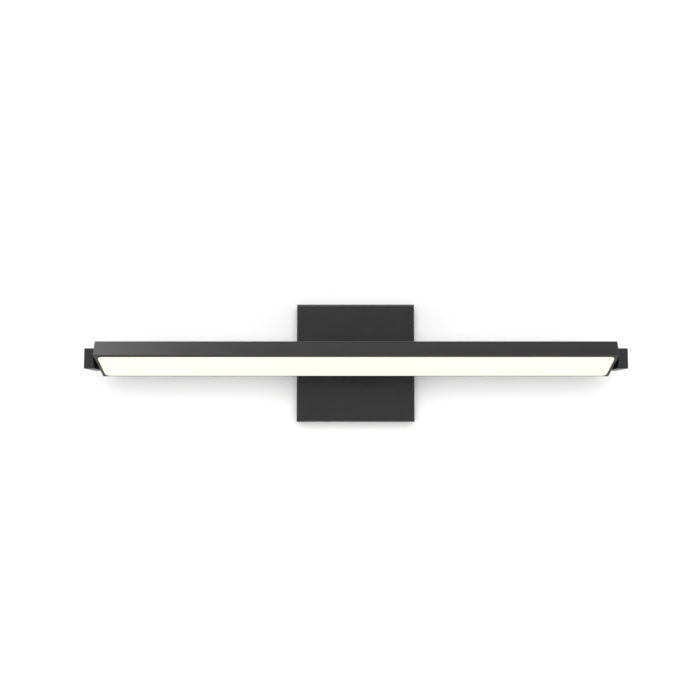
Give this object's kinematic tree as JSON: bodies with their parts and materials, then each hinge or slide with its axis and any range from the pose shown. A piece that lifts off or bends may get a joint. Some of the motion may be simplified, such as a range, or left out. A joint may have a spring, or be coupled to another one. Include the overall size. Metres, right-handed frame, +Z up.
{
  "type": "vanity light bar",
  "caption": "Wall vanity light: square black canopy, U-shaped frame and a long flat LED head with an opal diffuser that tilts between the frame's arms.",
  "frame": {"origin": "centre of the canopy's back on the wall plane, at the height of the tilt axis", "axes": "+X to the right along the bar, +Y into the wall, +Z up"},
  "size_m": [0.552, 0.1082, 0.128],
  "materials": {
    "black_coat": "satin black powder coat with a fine texture",
    "black_screw": "blackened steel",
    "zinc_steel": "zinc plated",
    "spring_steel": "bright spring steel",
    "green_screw": "green dyed zinc",
    "tinned_brass": "tinned",
    "black_rubber": "matte",
    "black_nylon": "matte moulded nylon",
    "bush_nylon": "natural nylon",
    "driver_plate": "plain sheet",
    "driver_plastic": "fine moulded texture",
    "circuit_board": "green solder mask",
    "components": "wound coils and capacitors",
    "white_board": "white solder mask on aluminium",
    "white_plastic": "matte white",
    "orange_plastic": "moulded",
    "black_wire": "PVC insulation",
    "white_wire": "PVC insulation",
    "green_wire": "PVC insulation",
    "red_wire": "PVC insulation",
    "led_phosphor": "LED package",
    "opal_diffuser": "opal acrylic, lit"
  },
  "bodies": {
    "frame": {"mounting_strap": "zinc_steel", "ground_screw": "green_screw", "ground_terminal": "tinned_brass", "ground_lead": "green_wire", "canopy": "black_coat", "canopy_screws": "black_screw", "canopy_grommet": "black_rubber", "driver_studs": "zinc_steel", "driver_nuts": "zinc_steel", "driver_base": "driver_plate", "driver_case": "driver_plastic", "driver_board": "circuit_board", "driver_components": "components", "line_lead": "black_wire", "neutral_lead": "white_wire", "wire_connectors": "orange_plastic", "output_lead": "red_wire", "neck": "black_coat", "neck_front_screws": "black_screw", "neck_rear_screws": "zinc_steel", "rail": "black_coat", "rail_end_plugs": "black_nylon", "left_arm": "black_coat", "right_arm": "black_coat", "arm_screws": "black_screw", "left_pivot_bush": "bush_nylon", "right_pivot_bush": "bush_nylon", "left_friction_disc": "black_nylon", "right_friction_disc": "black_nylon", "left_pivot_cap": "black_coat", "right_pivot_cap": "black_coat"},
    "head": {"housing": "black_coat", "left_end_cap": "black_coat", "right_end_cap": "black_coat", "end_cap_screws": "black_screw", "left_pivot_tube": "zinc_steel", "right_pivot_tube": "zinc_steel", "spring_washers": "spring_steel", "pivot_nuts": "zinc_steel", "led_board": "white_board", "led_chips": "led_phosphor", "board_screws": "zinc_steel", "board_connector": "white_plastic", "head_lead": "red_wire", "reflector": "white_plastic", "diffuser": "opal_diffuser"}
  },
  "joints": [
    {"name": "head_tilt", "type": "hinge", "parent": "frame", "child": "head", "pos_m": [0, -0.0841, 0], "axis": [-1, 0, 0], "range_deg": [-80, 220]}
  ]
}
